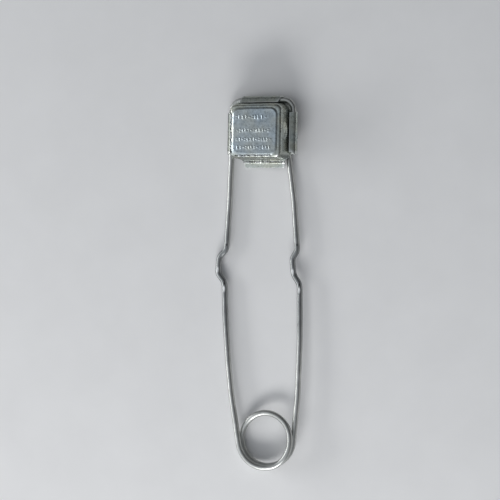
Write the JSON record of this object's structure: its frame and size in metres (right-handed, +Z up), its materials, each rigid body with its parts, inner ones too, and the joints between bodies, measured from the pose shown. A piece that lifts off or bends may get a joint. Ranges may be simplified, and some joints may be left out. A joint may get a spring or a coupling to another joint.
{
  "type": "flint spark lighter",
  "caption": "Spring-wire striker: squeezing the handle drags a flint across a file plate inside an open steel cup.",
  "frame": {"origin": "centre of the bounding box's base, on the bench the lighter lies on, cup face up", "axes": "+Y along the handle from the coil to the cup, +Z up from the bench, +X to the striker arm's side; the wire plane leans 9.8 degrees about Y, as it does at rest"},
  "size_m": [0.0474, 0.1948, 0.0191],
  "materials": {
    "spring_wire": "satin zinc-plated spring wire",
    "cup_steel": "satin galvanised sheet",
    "file_steel": "hardened dark steel, single-cut teeth",
    "holder_plating": "bright plated, knurled",
    "flint_alloy": "dull sintered rod"
  },
  "bodies": {
    "handle": {"fixed_arm": "spring_wire", "spring_coil": "spring_wire", "flint_cup": "cup_steel", "file_plate": "file_steel"},
    "striker": {"striker_arm": "spring_wire", "flint_holder": "holder_plating", "flint": "flint_alloy"}
  },
  "joints": [
    {"name": "squeeze", "type": "hinge", "parent": "handle", "child": "striker", "pos_m": [0.00553, -0.08126, 0.0023], "axis": [-0.1705, 0.0126, 0.9853], "range_deg": [0, 7], "stiffness_Nm_per_rad": 3.9}
  ]
}
